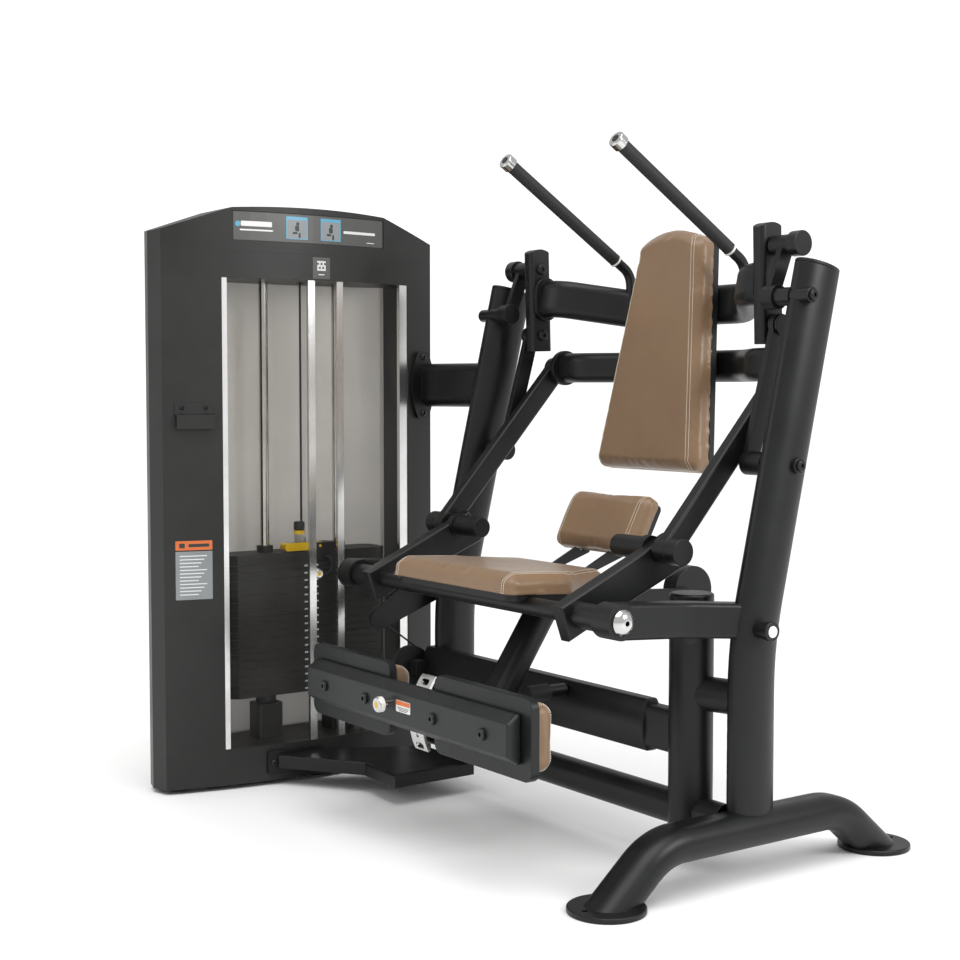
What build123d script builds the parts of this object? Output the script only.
from build123d import *
import math
import os

# Seated abdominal crunch machine: a still frame, a weight tower at its left side and a coupled
# linkage that carries the back pad, the seat and the foot pads.  Millimetres, +Z up, the user faces -Y.
# Everything is laid out about the seat's middle plane (x = 0) with y = 0 at the middle of the foot base,
# and is shifted once, at export, to the middle of the whole footprint.

# ---- driving dimensions -------------------------------------------------------------------------
FRAME_HALF = 559.0          # uprights' distance from the seat's middle plane
UPRIGHT_DEEP = 120.0        # upright tube, front to back
UPRIGHT_WIDE = 70.0         # upright tube, side to side
UPRIGHT_BEND_Z = 500.0      # height where the uprights start to lean
UPRIGHT_TOP = (186.0, 1300.0)
WALL = 4.0                  # steel tube wall
FOOT_TUBE = (100.0, 77.0)   # foot base tube, wide and high
FOOT_Z = 108.5              # foot base tube centre height
DISC_R = 81.0
DISC_Y = 394.0
DISC_THICK = 12.0
BASE_Y = -52.0              # floor tube, rear beam and rear post share this line
BASE_Z = 122.0
POST_X = 430.0
POST_R = 48.5
POST_TOP = 592.0
BEAM_Z = 292.0
BEAM_HIGH = 118.0
BEAM_DEEP = 63.0
BEAM_END = 300.0
TIE_Z = 1051.0

# pivots of the linkage, (y, z)
PIVOT_A = (126.0, 1239.0)   # upper crank on the upright
PIVOT_B = (94.0, 878.0)     # lower rocker on the upright
PIVOT_C = (173.0, 1356.0)   # crank to side plate
PIVOT_D = (178.0, 1182.0)   # rocker to side plate
PIVOT_R = (242.0, 1096.0)   # long link to lower crossbar
PIVOT_Q = (-119.0, 695.0)   # long link to seat carriage
PIVOT_P = (-338.0, 572.0)   # seat carriage on the fixed seat arms
PIVOT_L = (-6.0, 536.0)     # cable lever on the left upright
LEVER_TIP = (-208.0, 433.0)
PULLEY_YZ = (-105.0, 296.0)
PULLEY_R = 55.0
CABLE_X = -618.0
CABLE_R = 2.5

# distances from the middle plane of the layers that pass each other
ARM_IN, ARM_OUT = 365.0, 400.0
PLATE_IN, PLATE_OUT = 405.0, 441.0
LINK_IN, LINK_OUT = 410.0, 440.0
ROCKER_IN, ROCKER_OUT = 446.0, 462.0
CRANK_IN, CRANK_OUT = 474.0, 489.0
SEAT_ARM_IN, SEAT_ARM_OUT = 482.0, 537.0
BOSS_OUT = 550.0
RUN = 0.06                  # radial running clearance of a pin in its bore
OPEN_BORE = 17.5            # eyes of the two opened pivots, around an 11 mm pin
PIN_R = 11.0

# reclined back pad
BACK_LEAN = 8.6
BACK_FOOT = (169.0, 843.0)  # lower front edge of the pad
BACK_LONG = 604.0
BACK_WIDE_LOW = 386.0
BACK_WIDE_TOP = 236.0
BACK_THICK = 54.0
BACK_BOARD = 16.0

# seat
SEAT_FRONT = (-404.0, 599.0)
SEAT_DEEP = 343.0
SEAT_WIDE = 484.0
SEAT_THICK = 46.0
SEAT_TILT = -3.2
SEAT_BOARD = 14.0
MOUNT_AT = 262.0            # middle of the plate under the seat board, from the seat's front

# foot pads
PAD_SET = (-533.0, 333.0)   # outer face middle of the channel
CHANNEL_HALF = 400.0
FOOT_PAD_HIGH = 146.0
FOOT_PIVOT = (-330.0, 300.0)  # centre of the curved adjuster plate
ADJUST_R = 152.0

# weight tower
TOWER_X = -836.0
TOWER_Y = -333.0
TOWER_HALF_LONG = 405.0
TOWER_TIP = 14.0            # how far the end facets stand out
TOWER_SIDE = 50.0           # half width at the ends
TOWER_BULGE = 60.0          # extra half width at the middle
SHEET = 3.0
BASE_LOW, BASE_TOP = 12.0, 106.0
WINDOW_TOP = 1325.0
HEADER_TOP = 1391.0
COWL_MID = 1512.0
COWL_SHOULDER = 1504.0
COWL_END = 1441.0
FRONT_POST_Y = -588.0
REAR_POST_Y = -18.0
SLOT_LOW_Y, SLOT_HIGH_Y = -329.0, -262.0
STACK_Y = -315.0
STACK_WIDE = 110.0
STACK_LONG = 480.0
STACK_LOW = 226.0
PLATE_PITCH = 19.5
PLATE_THICK = 18.9
PLATE_COUNT = 18
PICKED = 2
ROD_OFFSET = 111.0
ROD_R = 12.5
KNOB_R = 12.5

FOOTPRINT_X = 153.0         # shift that puts the origin at the middle of the footprint
FOOTPRINT_Y = 138.5
SLIVER = 60.0

os.makedirs("parts", exist_ok=True)


# ---- helpers ------------------------------------------------------------------------------------
def solids_of(*shapes):
    """All real solids of some shapes or lists of shapes, without cutting crumbs."""
    found = []
    for shape in shapes:
        group = shape if isinstance(shape, (list, tuple)) else [shape]
        for item in group:
            found += [solid for solid in item.solids() if solid.volume > SLIVER]
    return found


def save(name, *shapes):
    """Writes one node, shifted to the footprint's middle."""
    body = Compound(solids_of(*shapes))
    export_step(Pos(FOOTPRINT_X, FOOTPRINT_Y, 0) * body, f"parts/{name}.step")


def both(*shapes):
    """The right-hand solids and their mirror images on the left."""
    right = solids_of(*shapes)
    return right + [mirror(solid, about=Plane.YZ) for solid in right]


def cut(shape, *others):
    """A shape with each solid of the others taken away."""
    for other in solids_of(*others):
        shape = shape - other
    return shape


def box(x0, x1, y0, y1, z0, z1):
    """Box between two corners."""
    return Pos((x0 + x1) / 2, (y0 + y1) / 2, (z0 + z1) / 2) * Box(x1 - x0, y1 - y0, z1 - z0)


def eased(shape, edges, radius):
    """Rounds edges, with a smaller radius where the full one doesn't fit."""
    for part in (1.0, 0.6, 0.3):
        try:
            return fillet(edges, radius * part)
        except ValueError:
            continue
    return shape


def xbar(radius, x0, x1, yz, ease=0.0):
    """Round bar along X, with its end edges eased."""
    bar = Cylinder(radius, x1 - x0)
    if ease:
        bar = eased(bar, bar.edges().filter_by(GeomType.CIRCLE), ease)
    return Pos((x0 + x1) / 2, yz[0], yz[1]) * Rot(0, 90, 0) * bar


def side_face(face, x0, x1):
    """Extrudes a face drawn in (y, z) from x0 to x1."""
    return extrude(Plane.YZ.offset(x0) * face, x1 - x0)


def side_poly(points, x0, x1, radius=0.0):
    """Plate with a polygon outline in (y, z)."""
    face = make_face(Polyline(*points, close=True))
    if radius:
        face = fillet(face.vertices(), radius)
    return side_face(face, x0, x1)


def strap(start, end, width, x0, x1):
    """Flat bar with round ends from one pivot to another, in (y, z)."""
    length = math.dist(start, end)
    turn = math.degrees(math.atan2(end[1] - start[1], end[0] - start[0]))
    middle = Pos((start[0] + end[0]) / 2, (start[1] + end[1]) / 2)
    return side_face(middle * Rot(0, 0, turn) * SlotCenterToCenter(length, width), x0, x1)


def oval(across, along):
    """Flat-oval outline, across by along."""
    if across > along:
        return SlotOverall(across, along)
    return Rot(0, 0, 90) * SlotOverall(along, across)


def swept(points, radii, profile, x_dir):
    """Sweeps a profile along straight runs joined by arcs."""
    path = FilletPolyline(*points, radius=radii) if radii else Polyline(*points)
    start = Plane(origin=path @ 0, x_dir=x_dir, z_dir=path % 0)
    return sweep(start * profile, path=path)


def ends_open(points, grow):
    """The same route, run on past both ends."""
    first, second = Vector(*points[0]), Vector(*points[1])
    last, before = Vector(*points[-1]), Vector(*points[-2])
    head = first + (first - second).normalized() * grow
    tail = last + (last - before).normalized() * grow
    return [tuple(head)] + list(points[1:-1]) + [tuple(tail)]


def tube(points, radii, outline, inner, x_dir):
    """Hollow tube and its filled shape: outline outside, inner outline inside."""
    filled = swept(points, radii, outline, x_dir)
    hollow = filled - swept(ends_open(points, 2), radii, inner, x_dir)
    return hollow, filled


def bolt(x, yz, outward, radius=14.0, high=8.0):
    """Button bolt head with a hexagon socket, standing on a face at x."""
    head = fillet(Cylinder(radius, high, align=(Align.CENTER, Align.CENTER, Align.MIN)).edges()
                  .filter_by(GeomType.CIRCLE).sort_by(Axis.Z)[-1:], high * 0.45)
    socket = Pos(0, 0, high) * extrude(RegularPolygon(radius * 0.38, 6), -high * 0.55)
    turn = 90 if outward > 0 else -90
    return Pos(x, yz[0], yz[1]) * Rot(0, turn, 0) * (head - socket)


# ---- still frame --------------------------------------------------------------------------------
foot_route = [(FRAME_HALF, -416, -22), (FRAME_HALF, -262, FOOT_Z), (FRAME_HALF, 262, FOOT_Z),
              (FRAME_HALF, 416, -22)]
foot_tube, foot_solid = tube(foot_route, [150, 150], oval(*FOOT_TUBE),
                             oval(FOOT_TUBE[0] - 2 * WALL, FOOT_TUBE[1] - 2 * WALL), (1, 0, 0))
under_disc = box(400, 700, -600, 600, -200, DISC_THICK)
foot_base = foot_tube - under_disc
foot_solid = foot_solid - under_disc

floor_discs = []
for side in (-1, 1):
    disc = fillet(Cylinder(DISC_R, DISC_THICK).edges().filter_by(GeomType.CIRCLE), 3)
    disc = disc - Pos(0, side * 56, 0) * Cylinder(7, 30)
    floor_discs.append(Pos(FRAME_HALF, side * DISC_Y, DISC_THICK / 2) * disc)
save("foot_base", foot_base, floor_discs)

# floor tube along X
base_tube, base_solid = tube([(-634, BASE_Y, BASE_Z), (FRAME_HALF - 20, BASE_Y, BASE_Z)], None,
                             oval(77, 62), oval(69, 54), (0, 0, 1))
cable_slot = box(CABLE_X - 8, CABLE_X + 8, -62, -42, BASE_Z, BASE_Z + 60)
base_tube = cut(base_tube, foot_solid) - cable_slot
save("base_tube", base_tube, extrude(Plane((-634, BASE_Y, BASE_Z), x_dir=(0, 0, 1), z_dir=(-1, 0, 0))
                                     * oval(77, 62), 6))

# uprights: the right one stands on the foot base, the left one on the floor tube
ellipse_out = Ellipse(UPRIGHT_WIDE / 2, UPRIGHT_DEEP / 2)
ellipse_in = Ellipse(UPRIGHT_WIDE / 2 - WALL, UPRIGHT_DEEP / 2 - WALL)
lean = (UPRIGHT_TOP[0] / math.hypot(UPRIGHT_TOP[0], UPRIGHT_TOP[1] - UPRIGHT_BEND_Z),
        (UPRIGHT_TOP[1] - UPRIGHT_BEND_Z) / math.hypot(UPRIGHT_TOP[0], UPRIGHT_TOP[1] - UPRIGHT_BEND_Z))
upright_route = [(FRAME_HALF, 0, 90), (FRAME_HALF, 0, UPRIGHT_BEND_Z),
                 (FRAME_HALF, UPRIGHT_TOP[0], UPRIGHT_TOP[1])]
upright, upright_solid = tube(upright_route, [900], ellipse_out, ellipse_in, (1, 0, 0))
left_upright = mirror(upright, about=Plane.YZ)
left_solid = mirror(upright_solid, about=Plane.YZ)
right_upright = cut(upright, foot_solid, base_solid)
left_upright = cut(left_upright, base_solid)

top_plane = Plane((FRAME_HALF, *UPRIGHT_TOP), x_dir=(1, 0, 0), z_dir=(0, *lean))
top_cap = extrude(top_plane * ellipse_out, 9)
top_cap = eased(top_cap, top_cap.faces().sort_by(Axis.Z)[-1].edges(), 6)
foot_cap = Pos(-FRAME_HALF, 0, 84) * extrude(Ellipse(UPRIGHT_WIDE / 2, UPRIGHT_DEEP / 2), 6)
save("tube_end_caps", both(top_cap), cut(foot_cap, base_solid))

# bosses and shafts of the two fixed pivots, welded into the uprights
fixed_pins = []
for pivot in (PIVOT_A, PIVOT_B):
    boss = xbar(20, 507, BOSS_OUT, pivot) - upright_solid
    boss = max(boss.solids(), key=lambda part: -abs(part.center().X - 510))
    inner_end = 474.5 if pivot is PIVOT_A else ROCKER_IN + 12
    fixed_pins.append(boss + xbar(12, inner_end, 507, pivot))

# rear post, its cap and its brace
post = Pos(POST_X, BASE_Y, (95 + POST_TOP) / 2) * (Cylinder(POST_R, POST_TOP - 95)
                                                   - Cylinder(POST_R - WALL, POST_TOP - 95))
post_solid = Pos(POST_X, BASE_Y, (95 + POST_TOP) / 2) * Cylinder(POST_R, POST_TOP - 95)
post_cap = Pos(POST_X, BASE_Y, POST_TOP) * extrude(Circle(POST_R), 9)
post_cap = eased(post_cap, post_cap.faces().sort_by(Axis.Z)[-1].edges(), 6)

brace, brace_solid = tube([(POST_X, BASE_Y, 385), (FRAME_HALF, -14, 385)], None, Circle(37.5),
                          Circle(34), (0, 0, 1))
brace = max(cut(brace, post_solid, upright_solid).solids(), key=lambda part: part.volume)
save("rear_post", cut(post, base_solid), post_cap, brace)

# rear beam: lens section, thin end cap, narrower bracket to the post
half_high, half_deep = BEAM_HIGH / 2, BEAM_DEEP / 2


def lens_face(high, deep):
    """Lens outline drawn in (y, z) about its own middle."""
    front = ThreePointArc((-deep * 0.45, -high), (-deep, 0), (-deep * 0.45, high))
    back = ThreePointArc((deep * 0.45, high), (deep, 0), (deep * 0.45, -high))
    top = Line((-deep * 0.45, high), (deep * 0.45, high))
    bottom = Line((deep * 0.45, -high), (-deep * 0.45, -high))
    return fillet(make_face(front + top + back + bottom).vertices(), 8)


beam_at = Pos(BASE_Y - 4, BEAM_Z)
beam_solid = side_face(beam_at * lens_face(half_high, half_deep), -586, BEAM_END)
beam_inner = side_face(beam_at * lens_face(half_high - WALL, half_deep - WALL), -590, BEAM_END + 4)
beam = cut(beam_solid - beam_inner, left_solid)
beam_cap = side_face(beam_at * lens_face(half_high, half_deep), BEAM_END, BEAM_END + 10)
beam_cap = eased(beam_cap, beam_cap.faces().sort_by(Axis.X)[-1].edges(), 5)
bracket = side_face(beam_at * RectangleRounded(46, 96, 12), BEAM_END + 10, POST_X) - post_solid
stop_stub = Pos(26, -124, 330) * Rot(90, 0, 0) * Cylinder(15, 80) - beam_solid
beam = max(beam.solids(), key=lambda part: part.volume)
bracket = max(bracket.solids(), key=lambda part: part.volume)

# fixed seat arms: box tube bent outwards to meet the uprights
arm_x = (SEAT_ARM_IN + SEAT_ARM_OUT) / 2
arm_route = [(arm_x, PIVOT_P[0], PIVOT_P[1]), (arm_x, -150, PIVOT_P[1] - 12), (547, -20, PIVOT_P[1] - 20)]
arm_tube, arm_solid = tube(arm_route, [120], RectangleRounded(55, 75, 10),
                           RectangleRounded(49, 69, 7), (1, 0, 0))
arm_nose = xbar(37.5, SEAT_ARM_IN, SEAT_ARM_OUT, PIVOT_P)
nose_cut = xbar(12 + RUN / 3, SEAT_ARM_IN - 5, SEAT_ARM_OUT + 5, PIVOT_P)
seat_arm = max(cut(arm_tube, upright_solid).solids(), key=lambda part: part.volume)
save("seat_arms", both(seat_arm + arm_nose - nose_cut))

pivot_shaft = xbar(12, ARM_OUT + 4, SEAT_ARM_OUT, PIVOT_P)
dome = revolve(Plane.XZ * make_face(Line((0, 0), (27, 0)) + Line((27, 0), (27, 4))
                                    + ThreePointArc((27, 4), (19, 12), (8, 16))
                                    + Line((8, 16), (0, 16)) + Line((0, 16), (0, 0))), Axis.Z)
dome = dome - Pos(0, 0, 16) * Cylinder(5.5, 16)
pivot_cap = Pos(SEAT_ARM_OUT, *PIVOT_P) * Rot(0, 90, 0) * dome
save("pivot_shafts", both(pivot_shaft, fixed_pins))
save("pivot_caps", both(pivot_cap))

# outer ends of the frame's pivots: bolt heads, washers and the two plugged stop bolts
heads = []
for pivot in (PIVOT_A, PIVOT_B):
    heads.append(xbar(17, BOSS_OUT, 604, pivot, 1.5) - upright_solid + bolt(604, pivot, 1, 12, 7))
heads = [max(head.solids(), key=lambda part: part.center().X) for head in heads]
stop_bolt = xbar(19, 580, 616, PIVOT_L, 1.5) - upright_solid
stop_bolt = max(stop_bolt.solids(), key=lambda part: part.center().X) + xbar(21, 616, 627, PIVOT_L, 2)
lever_shaft = mirror(xbar(12, 580, 619, PIVOT_L) - upright_solid, about=Plane.YZ)
lever_shaft = max(lever_shaft.solids(), key=lambda part: -part.center().X)
lever_shaft = lever_shaft + xbar(21, -629, -619, PIVOT_L, 2)
post_bolt = Pos(POST_X + 36.8, BASE_Y - 36.8, 510) * Rot(0, 0, -45) * Rot(0, 90, 0) * Cylinder(13, 8)
post_bolt = cut(post_bolt, post_solid)
save("frame_bolts", both(heads), stop_bolt, lever_shaft, post_bolt)


# ---- weight tower -------------------------------------------------------------------------------
def tower_plan(inset=0.0):
    """Plan of the tower: two long arcs and two shallow pointed ends."""
    half = TOWER_HALF_LONG - inset
    side = TOWER_SIDE - inset
    full = side + TOWER_BULGE
    tip = half + TOWER_TIP
    outline = (ThreePointArc((side, -half), (full, 0), (side, half)) + Line((side, half), (0, tip))
               + Line((0, tip), (-side, half)) + ThreePointArc((-side, half), (-full, 0), (-side, -half))
               + Line((-side, -half), (0, -tip)) + Line((0, -tip), (side, -half)))
    return Pos(TOWER_X, TOWER_Y) * make_face(outline)


def tower_block(inset, low, high):
    """The tower's plan, pulled up from one height to another."""
    return Pos(0, 0, low) * extrude(tower_plan(inset), high - low)


far = 2000.0
tower_solid = tower_block(0, BASE_LOW, HEADER_TOP)
base_shell = tower_block(0, BASE_LOW, BASE_TOP) - tower_block(SHEET, BASE_LOW - 1, BASE_TOP - 6)
header = tower_block(0, WINDOW_TOP, HEADER_TOP) - tower_block(SHEET, WINDOW_TOP + 6, HEADER_TOP + 1)
for rod_y in (STACK_Y - ROD_OFFSET, STACK_Y + ROD_OFFSET):
    rod_hole = Pos(TOWER_X, rod_y, 0) * Cylinder(ROD_R + 0.4, 4 * far)
    header = header - rod_hole
header = header - Pos(TOWER_X, STACK_Y, WINDOW_TOP) * Cylinder(14, 60)
save("tower_header", header)


def post_shell(y0, y1, inner_y0, inner_y1):
    """Folded sheet post: one end of the tower's plan, closed towards the window."""
    outer = tower_block(0, BASE_TOP, WINDOW_TOP) & box(-far, far, y0, y1, 0, far)
    inner = tower_block(SHEET, BASE_TOP - 5, WINDOW_TOP + 5) & box(-far, far, inner_y0, inner_y1, 0, far)
    return outer - inner


save("tower_front_post", post_shell(-far, FRONT_POST_Y, -far, FRONT_POST_Y - SHEET))
save("tower_rear_post", post_shell(REAR_POST_Y, far, REAR_POST_Y + SHEET, far))

# arched cowl with a shallow placard recess on its front
arch = make_face(Polyline((-800, COWL_END - 8), (-745, COWL_END), (-560, COWL_SHOULDER))
                 + ThreePointArc((-560, COWL_SHOULDER), (TOWER_Y, COWL_MID), (-106, COWL_SHOULDER))
                 + Polyline((-106, COWL_SHOULDER), (79, COWL_END), (120, COWL_END - 8), (120, HEADER_TOP - 10),
                            (-800, HEADER_TOP - 10), (-800, COWL_END - 8)))
cowl_outer = tower_block(0, HEADER_TOP, COWL_MID + 5) & side_face(arch, -far, 0)
cowl_inner = tower_block(SHEET, HEADER_TOP - 1, COWL_MID) & Pos(0, 0, -5) * side_face(arch, -far, 0)
cowl = cowl_outer - cowl_inner
recess_ring = tower_block(-5, 1420, 1496) - tower_block(1.8, 1419, 1497)
recess = recess_ring & box(TOWER_X + 20, 0, -560, -106, 0, far)
save("tower_cowl", cowl - recess)

# clear shields and bright trims
shield_ring = tower_block(14, BASE_TOP, WINDOW_TOP) - tower_block(17, BASE_TOP - 1, WINDOW_TOP + 1)
front_half = box(TOWER_X, 0, -far, far, 0, far)
back_half = box(-far, TOWER_X, -far, far, 0, far)
front_left = shield_ring & front_half & box(-far, far, FRONT_POST_Y + 0.5, SLOT_LOW_Y - 22, 0, far)
front_right = shield_ring & front_half & box(-far, far, SLOT_HIGH_Y + 22, REAR_POST_Y - 0.5, 0, far)
rear_shield = shield_ring & back_half & box(-far, far, FRONT_POST_Y + 0.5, REAR_POST_Y - 0.5, 0, far)
save("tower_shields", front_left, front_right, rear_shield)

trim_ring = tower_block(2, BASE_TOP, WINDOW_TOP) - tower_block(13.6, BASE_TOP - 1, WINDOW_TOP + 1)
trims = []
for low_y, high_y in ((FRONT_POST_Y + 0.3, FRONT_POST_Y + 14), (SLOT_LOW_Y - 20, SLOT_LOW_Y),
                      (SLOT_HIGH_Y, SLOT_HIGH_Y + 20), (REAR_POST_Y - 30, REAR_POST_Y - 0.3)):
    trims.append(trim_ring & front_half & box(-far, far, low_y, high_y, 0, far))
save("window_trims", trims)

feet = []
for foot_y in (TOWER_Y - 350, TOWER_Y + 350):
    foot = Pos(TOWER_X, foot_y, 5) * Cylinder(30, 10) + Pos(TOWER_X, foot_y, 55) * Cylinder(8, 90)
    feet.append(foot - Pos(TOWER_X, foot_y, 100.05 + 10) * Cylinder(12, 20.1))
rail = box(TOWER_X - 42, TOWER_X + 42, TOWER_Y - 385, TOWER_Y + 385, 12.5, 16)
for foot_y in (TOWER_Y - 350, TOWER_Y + 350):
    rail = rail - Pos(TOWER_X, foot_y, 20) * Cylinder(8.4, 60)
save("levelling_feet", feet)

# guide rods on their pedestals with rubber cushions
rods, pedestals, cushions = [], [], []
for rod_y in (STACK_Y - ROD_OFFSET, STACK_Y + ROD_OFFSET):
    rods.append(Pos(TOWER_X, rod_y, (BASE_TOP + 1370) / 2) * Cylinder(ROD_R, 1370 - BASE_TOP))
    pedestal = Pos(TOWER_X, rod_y, (BASE_TOP + 200) / 2) * Box(64, 72, 200 - BASE_TOP)
    pedestals.append(fillet(pedestal.edges().filter_by(Axis.Z), 8)
                     - Pos(TOWER_X, rod_y, 150) * Cylinder(ROD_R, 200))
    cushion = Pos(TOWER_X, rod_y, 213) * Cylinder(27, 25.4)
    cushions.append(fillet(cushion.edges().filter_by(GeomType.CIRCLE), 4)
                    - Pos(TOWER_X, rod_y, 213) * Cylinder(ROD_R + 0.3, 60))
save("guide_rods", rods)
save("tower_base", base_shell, rail, pedestals)


def stack_plate(low, thick):
    """One cast plate: chamfered ends, two rod holes, rod slot and a selector hole."""
    outline = chamfer(Rectangle(STACK_WIDE, STACK_LONG).vertices(), 22)
    plate = Pos(TOWER_X, STACK_Y, low) * extrude(outline, thick)
    plate = plate - Pos(TOWER_X, STACK_Y, low + thick / 2) * Cylinder(15, 2 * thick)
    for aside in (-ROD_OFFSET, ROD_OFFSET):
        plate = plate - Pos(TOWER_X, STACK_Y + aside, low + thick / 2) * Cylinder(ROD_R + 1.5, 2 * thick)
    hole = Pos(TOWER_X + STACK_WIDE / 2, STACK_Y, low + thick / 2) * Rot(0, 90, 0) * Cylinder(5.6, STACK_WIDE)
    return plate - hole


plates = [stack_plate(STACK_LOW + PLATE_PITCH * index, PLATE_THICK) for index in range(PLATE_COUNT)]
stack_top = STACK_LOW + PLATE_PITCH * PLATE_COUNT
save("weight_plates", plates[:-PICKED])
save("selected_plates", plates[-PICKED:])

top_plate = stack_plate(stack_top + 0.3, 27)
top_plate = top_plate - Pos(TOWER_X, STACK_Y, stack_top) * Cylinder(12.6, 100)
bushes = []
for aside in (-ROD_OFFSET, ROD_OFFSET):
    bush = Pos(TOWER_X, STACK_Y + aside, stack_top + 27.3 + 9) * (Cylinder(22, 18) - Cylinder(ROD_R + 0.8, 20))
    bushes.append(bush)

rod_low = STACK_LOW + 8
rod_high = stack_top + 62
selector_rod = Pos(TOWER_X, STACK_Y, (rod_low + rod_high) / 2) * Cylinder(12, rod_high - rod_low)
pin_z = STACK_LOW + PLATE_PITCH * (PLATE_COUNT - PICKED) + PLATE_THICK / 2
for index in range(PLATE_COUNT):
    hole_z = STACK_LOW + PLATE_PITCH * index + PLATE_THICK / 2
    selector_rod = selector_rod - Pos(TOWER_X, STACK_Y, hole_z) * Rot(0, 90, 0) * Cylinder(5.6, 30)
save("selector_rod", selector_rod)

cable_top = 1372.0
stack_cable = Pos(TOWER_X, STACK_Y, (rod_high + cable_top) / 2) * Cylinder(3, cable_top - rod_high)
save("stack_cable", stack_cable)

# half-step lever: yellow bar with an upright post and a black knob
lever_z = stack_top + 30
lever_bar = box(TOWER_X + 16, TOWER_X + 48, STACK_Y - 74, STACK_Y + 40, lever_z, lever_z + 22)
lever_bar = eased(lever_bar, lever_bar.edges().filter_by(Axis.X), 8)
lever_post = box(TOWER_X + 22, TOWER_X + 42, STACK_Y - 34, STACK_Y - 14, lever_z + 22, lever_z + 44)
lever_collar = Pos(TOWER_X + 32, STACK_Y - 24, lever_z + 49) * Cylinder(15, 10)
lever_pin_at = (STACK_Y + 28, lever_z + 11)
lever_pin = xbar(4, TOWER_X + 10, TOWER_X + 54.5, lever_pin_at)
lever_knob = Pos(TOWER_X + 32, STACK_Y - 24, lever_z + 66) * Cylinder(15, 24)
lever_knob = fillet(lever_knob.edges().filter_by(GeomType.CIRCLE), 5)
save("increment_lever", lever_bar + lever_post + lever_collar + lever_pin, lever_knob)
lever_foot = stack_top + 27.3
lever_block = box(TOWER_X + 9, TOWER_X + 55, STACK_Y + 44, STACK_Y + 72, lever_foot, lever_z + 20)
for ear_x in (TOWER_X + 9, TOWER_X + 49):
    lever_block = lever_block + box(ear_x, ear_x + 6, STACK_Y + 18, STACK_Y + 45, lever_foot, lever_z + 20)
lever_block = lever_block - xbar(4 + RUN, TOWER_X, TOWER_X + 60, lever_pin_at)
save("top_plate", top_plate, bushes, lever_block)

# selector pin and its coiled lanyard
pin_face = TOWER_X + STACK_WIDE / 2
pin_shaft = xbar(5, TOWER_X - 14, pin_face + 18, (STACK_Y, pin_z))
pin_knob = xbar(KNOB_R, pin_face + 18, pin_face + 44, (STACK_Y, pin_z), 3)
pin_flange = xbar(KNOB_R, pin_face + 12, pin_face + 18, (STACK_Y, pin_z), 2)
save("selector_pin", pin_shaft + pin_flange + pin_knob)

LANYARD = [(pin_face + 0.1, STACK_Y + 46, stack_top + 12), (pin_face + 19, STACK_Y + 46, stack_top + 12),
           (pin_face + 33, STACK_Y + 44, stack_top), (pin_face + 40, STACK_Y + 40, pin_z + 13),
           (pin_face + 41, STACK_Y + 30, pin_z + 2), (pin_face + 37, STACK_Y + 22, pin_z - 3),
           (pin_face + 34, STACK_Y + KNOB_R + 2, pin_z)]


def corner_radii(points):
    """Arc radii as large as each corner's two runs allow."""
    radii = []
    for before, here, after in zip(points, points[1:], points[2:]):
        first = Vector(*here) - Vector(*before)
        second = Vector(*after) - Vector(*here)
        turn = math.radians(first.get_angle(second))
        radii.append(0.45 * min(first.length, second.length) / math.tan(turn / 2))
    return radii


lanyard_radii = corner_radii(LANYARD)
print("lanyard radii", [round(radius, 1) for radius in lanyard_radii])
lanyard_path = FilletPolyline(*LANYARD, radius=lanyard_radii)
lanyard_start = Plane(origin=lanyard_path @ 0, z_dir=lanyard_path % 0)
lanyard = sweep(lanyard_start * Circle(3.2), path=lanyard_path)
print("lanyard length", round(lanyard_path.length, 1), "volume ratio",
      round(lanyard.volume / (math.pi * 3.2 ** 2 * lanyard_path.length), 3))
save("pin_lanyard", lanyard)

# tie tube and floor platform that join the tower to the frame
tie, tie_solid = tube([(-850, 30, TIE_Z), (-FRAME_HALF, 127, TIE_Z)], None, oval(120, 62),
                      oval(112, 54), (0, 0, 1))
tie = max(cut(tie, tower_solid, left_solid).solids(), key=lambda part: part.volume)
flange_face = Pos(34, TIE_Z) * lens_face(92, 44)
flange_block = side_face(flange_face, -792, -752) & tower_block(-9, 900, 1200)
tie_flange = max(cut(flange_block, tower_solid).solids(), key=lambda part: part.volume)

platform_points = [(-790, -470), (-716, -452), (-518, -308), (-359, -316), (-365, BASE_Y - 20),
                   (-600, BASE_Y - 20), (-716, -330), (-790, -330)]
platform = extrude(Pos(0, 0, 46) * make_face(Polyline(*platform_points, close=True)), 34)
platform = eased(platform, platform.edges().group_by(Axis.Z)[-1], 6)
platform_inner = extrude(Pos(0, 0, 40) * offset(make_face(Polyline(*platform_points, close=True)), -4), 36)
platform = cut(platform - platform_inner, tower_solid, base_solid, left_solid)
platform = max(platform.solids(), key=lambda part: part.volume)
foot_flange = (side_poly([(-478, 28), (-318, 28), (-318, 92), (-478, 92)], -760, -700, 10)
               & tower_block(-9, 20, 100))
foot_flange = max(cut(foot_flange, tower_solid).solids(), key=lambda part: part.volume)
save("foot_platform", cut(platform, foot_flange))
save("tie_tube", cut(tie, tie_flange), tie_flange, foot_flange)

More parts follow.
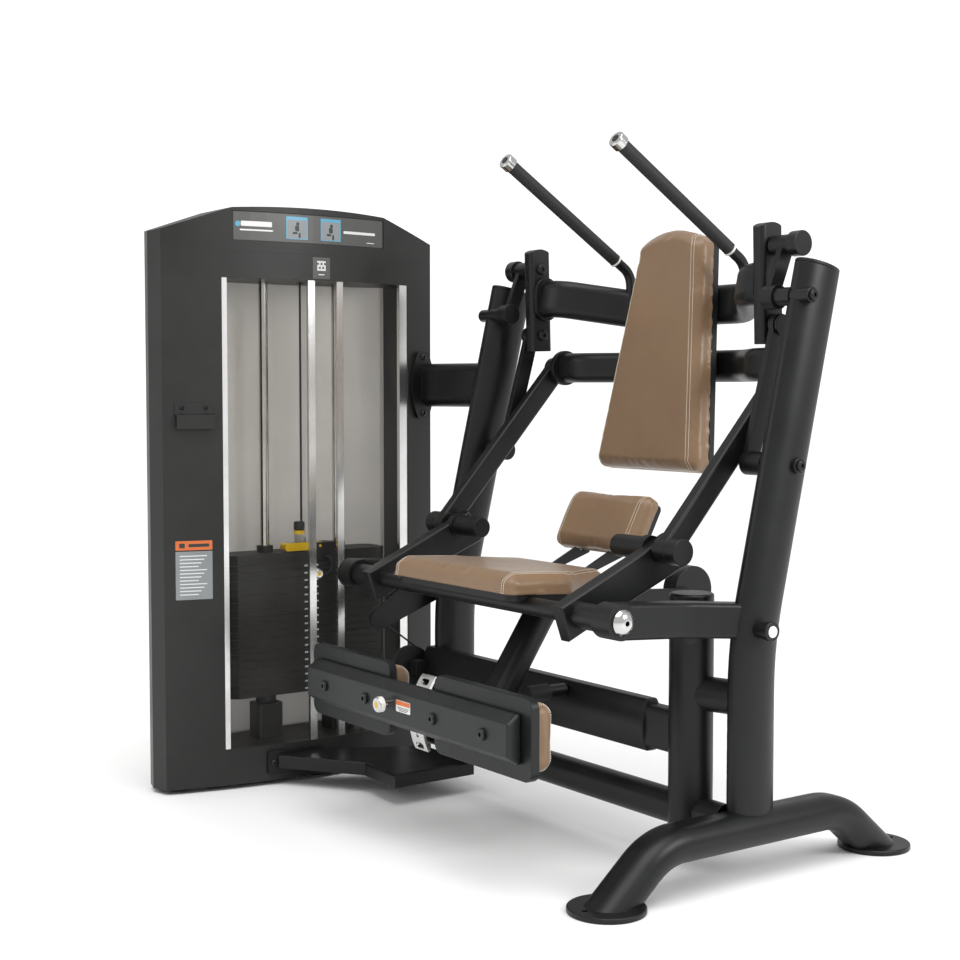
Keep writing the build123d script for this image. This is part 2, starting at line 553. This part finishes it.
# low pulley with its axle block, and the cable that wraps it
axle_block = fillet(box(-592, -560, -122, -87.6, 274, 318).edges().filter_by(Axis.X), 8)
axle_block = cut(axle_block, beam_solid, left_solid)
axle_block = max(axle_block.solids(), key=lambda part: part.volume)
axle = xbar(9, -630, -592, PULLEY_YZ) + xbar(15, -638, -630, PULLEY_YZ, 2)
save("rear_beam", beam, beam_cap, bracket, stop_stub, axle_block, axle)
groove = revolve(Plane.XZ * Pos(0, 0) * make_face(Polyline((9.06, -10), (55, -10), (55, -7), (50, -3),
                                                           (50, 3), (55, 7), (55, 10), (9.06, 10),
                                                           close=True)), Axis.Z)
save("low_pulley", Pos(CABLE_X, *PULLEY_YZ) * Rot(0, 90, 0) * groove)

# the cable runs from the lever's tip over the pulley and down into the floor tube
wrap_r = PULLEY_R - 5 + CABLE_R + 0.3
reach = (PULLEY_YZ[0] - LEVER_TIP[0], PULLEY_YZ[1] - LEVER_TIP[1])
cable_run = math.sqrt(math.hypot(*reach) ** 2 - wrap_r ** 2)
cable_turn = math.atan2(reach[1], reach[0]) + math.asin(wrap_r / math.hypot(*reach))
touch = (LEVER_TIP[0] + cable_run * math.cos(cable_turn), LEVER_TIP[1] + cable_run * math.sin(cable_turn))
run_plane = Plane(origin=(CABLE_X, *LEVER_TIP), z_dir=(0, math.cos(cable_turn), math.sin(cable_turn)))
lever_cable = extrude(run_plane * Circle(CABLE_R), cable_run - 4)
lever_cable = lever_cable - xbar(12.2, CABLE_X - 20, CABLE_X + 20, LEVER_TIP)
save("lever_cable", lever_cable)
top_of_wrap = math.atan2(touch[1] - PULLEY_YZ[1], touch[0] - PULLEY_YZ[0])
middle_turn = top_of_wrap / 2
wrap_points = [(PULLEY_YZ[0] + wrap_r * math.cos(turn), PULLEY_YZ[1] + wrap_r * math.sin(turn))
               for turn in (top_of_wrap, middle_turn, 0.0)]
wrap_path = (ThreePointArc(*[(CABLE_X, *point) for point in wrap_points])
             + Line((CABLE_X, *wrap_points[2]), (CABLE_X, wrap_points[2][0], BASE_Z + 10)))
wrap_start = Plane(origin=wrap_path @ 0, z_dir=wrap_path % 0)
save("pulley_cable", sweep(wrap_start * Circle(CABLE_R), path=wrap_path))

# ---- back frame ---------------------------------------------------------------------------------
plate_turn = math.degrees(math.atan2(PIVOT_D[0] - PIVOT_C[0], PIVOT_C[1] - PIVOT_D[1]))
plate_mid = ((PIVOT_C[0] + PIVOT_D[0]) / 2, (PIVOT_C[1] + PIVOT_D[1]) / 2)
plate_long, plate_wide = 258.0, 66.0
outline = (Line((-plate_wide / 2, -plate_long / 2), (plate_wide / 2, -plate_long / 2))
           + Line((plate_wide / 2, -plate_long / 2), (plate_wide / 2, plate_long / 2))
           + ThreePointArc((plate_wide / 2, plate_long / 2), (0, plate_long / 2 + 11),
                           (-plate_wide / 2, plate_long / 2))
           + Line((-plate_wide / 2, plate_long / 2), (-plate_wide / 2, -plate_long / 2)))
side_plate = side_face(Pos(*plate_mid) * Rot(0, 0, plate_turn) * make_face(outline), PLATE_IN, PLATE_OUT)
long_edges = side_plate.edges().filter_by(GeomType.LINE).filter_by(lambda edge: edge.length > 200)
side_plate = eased(side_plate, long_edges, 12)
side_plate = eased(side_plate, side_plate.edges().filter_by(lambda edge: edge.length > 20), 1.5)
save("side_plates", both(side_plate))

back_pins = [xbar(PIN_R, PLATE_OUT, 503, PIVOT_C), xbar(28, 503, 531, PIVOT_C, 2),
             xbar(PIN_R, PLATE_OUT, ROCKER_OUT + 3, PIVOT_D), xbar(23, ROCKER_OUT + 2, ROCKER_OUT + 7, PIVOT_D, 1)]

UPPER_END = (185.0, 1277.0)
UPPER_MID = (335.0, 1246.0)
slope = (UPPER_END[1] - UPPER_MID[1]) / (UPPER_MID[0] - UPPER_END[0])


def upper_z(y):
    """Height of the upper crossbar's centre line."""
    return UPPER_END[1] - (y - UPPER_END[0]) * slope


def crossbar(points, high, deep, normal):
    """Bowed crossbar of flat-oval tube, mirrored points, with its filled shape."""
    route = points + [(-x, y, z) for x, y, z in reversed(points)]
    radii = [90] * (len(route) - 2)
    return tube(route, radii, oval(high, deep), oval(high - 8, deep - 8), normal)


upper_points = [(394, UPPER_END[0], UPPER_END[1]), (345, UPPER_END[0], UPPER_END[1]),
                (205, UPPER_MID[0], upper_z(UPPER_MID[0]))]
upper_points = [(x, y, upper_z(y)) for x, y, _ in upper_points]
upper_bar, upper_solid = crossbar(upper_points, 98, 50, (0, slope, 1))
flange = fillet(side_face(Pos(*UPPER_END) * oval(74, 114), 394, PLATE_IN).edges(), 2)
save("upper_crossbar", upper_bar, both(flange))

lower_points = [(383, PIVOT_R[0], PIVOT_R[1]), (320, PIVOT_R[0], PIVOT_R[1]), (190, 335, PIVOT_R[1])]
lower_bar, lower_solid = crossbar(lower_points, 78, 48, (0, 0, 1))
end_disc = xbar(46, 383, 397, PIVOT_R, 2)
link_pin = xbar(PIN_R, 397, 446, PIVOT_R) + xbar(24, LINK_OUT + 4.6, LINK_OUT + 10, PIVOT_R, 1)
save("lower_crossbar", lower_bar, both(end_disc))
save("back_pivot_pins", both(back_pins[0] + back_pins[1], back_pins[2] + back_pins[3], link_pin,
                             bolt(PLATE_IN, PIVOT_C, -1), bolt(PLATE_IN, PIVOT_D, -1)))

# back pad: origin of its plane at the lower front edge, x across, y up the pad, z to the front
back_plane = Plane(origin=(0, *BACK_FOOT), x_dir=(1, 0, 0),
                   z_dir=(0, -math.cos(math.radians(BACK_LEAN)), math.sin(math.radians(BACK_LEAN))))


def pad_outline(inset=0.0):
    """Tapered outline with an arched top."""
    low = BACK_WIDE_LOW / 2 - inset
    top = BACK_WIDE_TOP / 2 - inset
    rise = BACK_LONG - 34
    face = make_face(Line((-low, inset), (low, inset)) + Line((low, inset), (top, rise))
                     + ThreePointArc((top, rise), (0, BACK_LONG - inset), (-top, rise))
                     + Line((-top, rise), (-low, inset)))
    return fillet(face.vertices(), 26)


back_pad = extrude(back_plane * pad_outline(), -BACK_THICK)
save("back_pad", back_pad)
board_plane = back_plane.offset(-BACK_THICK - 0.2)
back_board = extrude(board_plane * pad_outline(6), -BACK_BOARD)
bracket_plane = board_plane.offset(-BACK_BOARD)
pad_brackets = []
for along, solid in ((257, lower_solid), (405, upper_solid)):
    block = extrude(bracket_plane * Pos(0, along) * RectangleRounded(150, 58, 8), -60)
    block = max(cut(block, solid).solids(), key=lambda part: -part.center().Y)
    pad_brackets.append(block)
save("back_board", back_board, pad_brackets)

# handles: bent tube from the upper crossbar, rubber grip, plated end cap
HANDLE_X = 209.0
HANDLE_KNEE = (315.0, 1337.6)
HANDLE_END = (-90.0, 1599.0)
handle_length = math.dist(HANDLE_KNEE, HANDLE_END)
handle_dir = ((HANDLE_END[0] - HANDLE_KNEE[0]) / handle_length, (HANDLE_END[1] - HANDLE_KNEE[1]) / handle_length)


def along_handle(distance):
    """Point on the grip's centre line, measured from the knee."""
    return (HANDLE_X, HANDLE_KNEE[0] + handle_dir[0] * distance, HANDLE_KNEE[1] + handle_dir[1] * distance)


def on_handle(distance, shape):
    """Places a shape, drawn up its own Z, along the grip."""
    return Plane(origin=along_handle(distance), x_dir=(1, 0, 0), z_dir=(0, *handle_dir)) * shape


low_end = (HANDLE_X, HANDLE_KNEE[0] + 4, 1270)
handle = swept([low_end, (HANDLE_X, *HANDLE_KNEE), along_handle(handle_length - 14)], [52], Circle(13), (1, 0, 0))
handle = max(cut(handle, upper_solid).solids(), key=lambda part: part.center().Z)
grip_low, grip_high = 62.0, handle_length - 24
MIN_ALIGN = (Align.CENTER, Align.CENTER, Align.MIN)
grip = on_handle(grip_low, Cylinder(16, grip_high - grip_low, align=MIN_ALIGN)
                 - Cylinder(13, grip_high - grip_low, align=MIN_ALIGN))
cap = Cylinder(20, 22, align=MIN_ALIGN) - Cylinder(13, 9.8, align=MIN_ALIGN)
cap = eased(cap, cap.edges().filter_by(GeomType.CIRCLE).sort_by(Axis.Z)[-1:], 4)
cap = on_handle(grip_high + 0.2, cap)
save("handle_tubes", both(handle))
save("handle_grips", both(grip))
save("grip_caps", both(cap))

# ---- cranks, rockers, long links ----------------------------------------------------------------
crank = strap(PIVOT_A, PIVOT_C, 34, CRANK_IN, CRANK_OUT)
crank = crank + xbar(27, 471, 506.4, PIVOT_A, 1.5) + xbar(22, PLATE_OUT + 4, 502.4, PIVOT_C, 1.5)
crank = crank - xbar(12 + RUN, 473.5, 520, PIVOT_A) - xbar(PIN_R + RUN, 430, 520, PIVOT_C)
save("cranks", both(crank))

rocker = strap(PIVOT_B, PIVOT_D, 38, ROCKER_IN, ROCKER_OUT) + xbar(26, ROCKER_IN, 506.4, PIVOT_B, 1.5)
rocker = rocker + xbar(25, ROCKER_IN, ROCKER_OUT, PIVOT_D)
rocker = rocker - xbar(12 + RUN, ROCKER_IN + 10, 520, PIVOT_B) - xbar(OPEN_BORE, 430, 520, PIVOT_D)
save("rockers", both(rocker))

link = strap(PIVOT_Q, PIVOT_R, 54, LINK_IN, LINK_OUT)
link_edges = link.edges().filter_by(GeomType.LINE).filter_by(lambda edge: edge.length > 300)
link = eased(link, link_edges, 7)
link = link + xbar(28, ARM_OUT + 4, LINK_OUT + 2.6, PIVOT_Q, 1.5) + xbar(28, LINK_IN - 4, LINK_OUT + 4, PIVOT_R, 1.5)
link = link - xbar(12 + RUN, 390, 460, PIVOT_Q) - xbar(OPEN_BORE, 390, 460, PIVOT_R)
save("long_links", both(link))

# ---- seat carriage ------------------------------------------------------------------------------
arm_outline = [(-388, 591), (-362, 517), (-322, 535), (-44, 653), (-84, 728)]
carriage_arm = side_poly(arm_outline, ARM_IN, ARM_OUT)
arm_edges = carriage_arm.edges().filter_by(GeomType.LINE).filter_by(lambda edge: edge.length > 60)
carriage_arm = eased(carriage_arm, arm_edges, 6)
carriage_arm = carriage_arm + xbar(28, ARM_OUT, SEAT_ARM_IN - 0.6, PIVOT_P, 1)
carriage_arm = carriage_arm - xbar(12 + RUN, ARM_OUT + 3, SEAT_ARM_IN + 5, PIVOT_P)
carriage_arm = carriage_arm + xbar(29, ARM_IN - 8, ARM_IN + 10, PIVOT_Q) + xbar(25, 262, ARM_IN, PIVOT_Q, 2)
carriage_pin = xbar(12, ARM_OUT, LINK_OUT + 4, PIVOT_Q) + xbar(29, LINK_OUT + 3.4, 476, PIVOT_Q, 2)
cross_tube = xbar(20, -ARM_IN, ARM_IN, PIVOT_P) - xbar(16, -ARM_IN - 1, ARM_IN + 1, PIVOT_P)
cross_solid = xbar(20, -ARM_IN, ARM_IN, PIVOT_P)
save("carriage_arms", both(carriage_arm, carriage_pin), cross_tube)

# seat pad and board: x across, y to the rear, z up, from the pad's lower front edge
seat_plane = Plane(origin=(0, *SEAT_FRONT), x_dir=(1, 0, 0),
                   z_dir=(0, math.sin(math.radians(-SEAT_TILT)), math.cos(math.radians(SEAT_TILT))))


def seat_outline(inset=0.0):
    """Seat plan: straight front, sides that draw in towards the rear."""
    wide = SEAT_WIDE / 2 - inset
    deep = SEAT_DEEP - inset
    points = [(-wide, inset), (wide, inset), (wide, SEAT_DEEP * 0.5), (wide - 78, deep), (-wide + 78, deep),
              (-wide, SEAT_DEEP * 0.5)]
    return fillet(make_face(Polyline(*points, close=True)).vertices(), 26)


save("seat_pad", extrude(seat_plane * seat_outline(), SEAT_THICK))
seat_board = extrude(seat_plane.offset(-0.2) * seat_outline(14), -SEAT_BOARD)
board_under = seat_plane.offset(-0.2 - SEAT_BOARD)

# foot bar: from under the seat down and forward to the curved adjuster plate
bar_route = [(0, -96, 574), (0, -280, FOOT_PIVOT[1]), (0, FOOT_PIVOT[0] - ADJUST_R + 1.5, FOOT_PIVOT[1])]
foot_bar, foot_bar_solid = tube(bar_route, [70], RectangleRounded(76, 56, 20), RectangleRounded(70, 50, 17),
                                (1, 0, 0))
below_board = extrude(board_under * Rectangle(900, 1400), -700)
mount_plate = extrude(board_under * Pos(0, MOUNT_AT) * RectangleRounded(230, 110, 10), -8)
foot_bar = max((foot_bar & below_board).solids(), key=lambda part: part.volume)
foot_bar = max(cut(foot_bar, mount_plate).solids(), key=lambda part: part.volume)
foot_bar = foot_bar - xbar(8 + RUN, -60, 60, FOOT_PIVOT)
save("foot_bar", foot_bar)
save("seat_board", cut(seat_board, cross_solid), mount_plate)

# counterweight on its arm behind the seat
weight_at = (316.0, 537.0)
weight_arm = side_poly([(-128, 556), (-60, 556), (weight_at[0] + 20, weight_at[1] + 22),
                        (weight_at[0] + 20, weight_at[1] - 22), (-60, 512), (-118, 512)], 39, 51, 8)
weight_arm = cut(weight_arm & below_board, mount_plate, foot_bar_solid)
weight_arm = max(weight_arm.solids(), key=lambda part: part.volume)
save("counterweight", xbar(62, -8, 38.8, weight_at, 3), weight_arm)

# lumbar pad on its board and bracket
LUMBAR_LOW = (10.0, 676.0)
lumbar_lean = 28.0
lumbar_plane = Plane(origin=(0, *LUMBAR_LOW), x_dir=(1, 0, 0),
                     z_dir=(0, -math.cos(math.radians(lumbar_lean)), math.sin(math.radians(lumbar_lean))))
lumbar_face = Pos(0, 62) * RectangleRounded(300, 150, 24)
save("lumbar_pad", extrude(lumbar_plane * lumbar_face, -42))
lumbar_board_face = Pos(0, 62) * RectangleRounded(284, 134, 18)
lumbar_board = extrude(lumbar_plane.offset(-42.2) * lumbar_board_face, -14)
neck_points = [(-150, 560), (-90, 560), (-60, 600), (60, 640), (120, 730), (96, 770), (30, 660), (-110, 592),
               (-150, 578)]
neck = both(side_poly(neck_points, 60, 68))
necks = []
for piece in neck:
    piece = cut(piece, lumbar_board, extrude(lumbar_plane * lumbar_face, -42),
                extrude(seat_plane * seat_outline(-2), 60), seat_board, mount_plate)
    necks += [part for part in piece.solids() if part.volume > 8000]
save("lumbar_board", lumbar_board, necks)

# cable lever on the left upright
lever_length = math.dist(PIVOT_L, LEVER_TIP)
lever_turn = math.degrees(math.atan2(LEVER_TIP[1] - PIVOT_L[1], LEVER_TIP[0] - PIVOT_L[0]))
hub_r, tip_r = 52.0, 28.0
tangent = math.asin((hub_r - tip_r) / lever_length)
hub_edge = (hub_r * math.sin(tangent), hub_r * math.cos(tangent))
tip_edge = (lever_length + tip_r * math.sin(tangent), tip_r * math.cos(tangent))
lever_outline = make_face(Line(hub_edge, tip_edge)
                          + ThreePointArc(tip_edge, (lever_length + tip_r, 0), (tip_edge[0], -tip_edge[1]))
                          + Line((tip_edge[0], -tip_edge[1]), (hub_edge[0], -hub_edge[1]))
                          + ThreePointArc((hub_edge[0], -hub_edge[1]), (-hub_r, 0), hub_edge))
lever = side_face(Pos(*PIVOT_L) * Rot(0, 0, lever_turn) * lever_outline, -612, -602)
lever = lever + xbar(24, -618.4, -596, PIVOT_L, 1)
lever = lever - xbar(12 + RUN, -640, -590, PIVOT_L)
save("cable_lever", lever, xbar(12, CABLE_X - 5, -612, LEVER_TIP, 2))

# ---- foot pads ----------------------------------------------------------------------------------
channel_y, channel_z = PAD_SET
channel_face = make_face(Polyline((channel_y, channel_z - 34), (channel_y, channel_z + 34),
                                  (channel_y + 26, channel_z + 52), (channel_y + 36, channel_z + 52),
                                  (channel_y + 36, channel_z - 52), (channel_y + 26, channel_z - 52), close=True))
channel = side_face(fillet(channel_face.vertices(), 4), -CHANNEL_HALF, CHANNEL_HALF)
cap_face = fillet(channel_face.vertices(), 4)
channel_cap = side_face(cap_face, CHANNEL_HALF, CHANNEL_HALF + 14)
channel_cap = eased(channel_cap, channel_cap.faces().sort_by(Axis.X)[-1].edges(), 7)
cheek = side_poly([(channel_y + 36, channel_z + 30), (FOOT_PIVOT[0] - 30, FOOT_PIVOT[1] + 18),
                   (FOOT_PIVOT[0] + 18, FOOT_PIVOT[1] + 18), (FOOT_PIVOT[0] + 18, FOOT_PIVOT[1] - 18),
                   (FOOT_PIVOT[0] - 30, FOOT_PIVOT[1] - 18), (channel_y + 36, channel_z - 50)], 42, 50)
cheek = eased(cheek, cheek.edges().filter_by(Axis.X), 9)
foot_pin = xbar(8, -42, 42, FOOT_PIVOT)
save("pad_channel", channel, both(channel_cap, cheek), foot_pin)

board_y = channel_y + 36.2
foot_boards, foot_pads = [], []
pad_half_gap, pad_half_end = 92.0, 446.0
board_mid = (pad_half_gap + pad_half_end) / 2
board_wide = pad_half_end - pad_half_gap
front_plane = Plane(origin=(board_mid, board_y, channel_z), x_dir=(1, 0, 0), z_dir=(0, -1, 0))
foot_board = extrude(front_plane * RectangleRounded(board_wide, 172, 24), -20)
foot_board = eased(foot_board, foot_board.edges().group_by(Axis.Y)[0], 2)
foot_pad = extrude(front_plane.offset(-20.2) * RectangleRounded(board_wide - 8, FOOT_PAD_HIGH, 26), -50)
save("foot_boards", both(foot_board))
save("foot_pads", both(foot_pad))
channel_bolts = []
for bolt_x in (140, 326):
    head = fillet(Cylinder(13, 7, align=MIN_ALIGN).edges().filter_by(GeomType.CIRCLE).sort_by(Axis.Z)[-1:], 3)
    head = head - Pos(0, 0, 7) * extrude(RegularPolygon(5.2, 6), -4)
    channel_bolts.append(Pos(bolt_x, channel_y, channel_z) * Rot(90, 0, 0) * head)
save("channel_bolts", both(channel_bolts))

# curved adjuster plate: part of a ring about the foot pivot, with a round hole and a slot in each tab
ring_mid = ADJUST_R
plate_ring = (Circle(ring_mid + 3) - Circle(ring_mid - 3))
adjust_face = Pos(*FOOT_PIVOT) * plate_ring
adjuster = side_face(adjust_face, -27, 27)
wedge = Polyline(FOOT_PIVOT, (FOOT_PIVOT[0] - 300, FOOT_PIVOT[1] + 250), (FOOT_PIVOT[0] - 300, FOOT_PIVOT[1] - 150),
                 close=True)
adjuster = adjuster & side_face(make_face(wedge), -40, 40)
for angle in (147, 156, 193, 202):
    reach = (FOOT_PIVOT[0] + ring_mid * math.cos(math.radians(angle)),
             FOOT_PIVOT[1] + ring_mid * math.sin(math.radians(angle)))
    tool = Cylinder(5, 40) if angle in (156, 193) else extrude(SlotOverall(30, 15), 20, both=True)
    adjuster = adjuster - Pos(0, *reach) * Rot(90 + angle - 180, 0, 0) * tool
adjuster = max(adjuster.solids(), key=lambda part: part.volume)
save("adjuster_plate", cut(adjuster, foot_bar_solid))

# pop pin through the channel
pin_at = (-34.0, PAD_SET[1] + 6)
pop_barrel = Pos(pin_at[0], channel_y, pin_at[1]) * Rot(90, 0, 0) * Cylinder(10, 16, align=MIN_ALIGN)
save("pop_barrel", pop_barrel - Pos(pin_at[0], channel_y, pin_at[1]) * Rot(90, 0, 0) * Cylinder(4.6, 60))
pop_knob = Cylinder(17, 18, align=MIN_ALIGN)
pop_knob = eased(pop_knob, pop_knob.edges().filter_by(GeomType.CIRCLE), 3)
pop_pin = Pos(pin_at[0], channel_y - 16.6, pin_at[1]) * Rot(90, 0, 0) * pop_knob
pop_stem = Pos(pin_at[0], channel_y - 17, pin_at[1]) * Rot(-90, 0, 0) * Cylinder(4.5, 15, align=MIN_ALIGN)
save("pop_pin", pop_pin + pop_stem)

# stop buffer for the foot bar
buffer = Pos(26, -164, 330) * Rot(90, 0, 0) * Cylinder(19, 60)
buffer = max(cut(buffer, Pos(0, 1.5, 0) * foot_bar_solid).solids(), key=lambda part: part.center().Y)
save("rubber_stops", buffer - Pos(26, -124, 330) * Rot(90, 0, 0) * Cylinder(15, 80), cushions)
save("uprights", right_upright, left_upright)
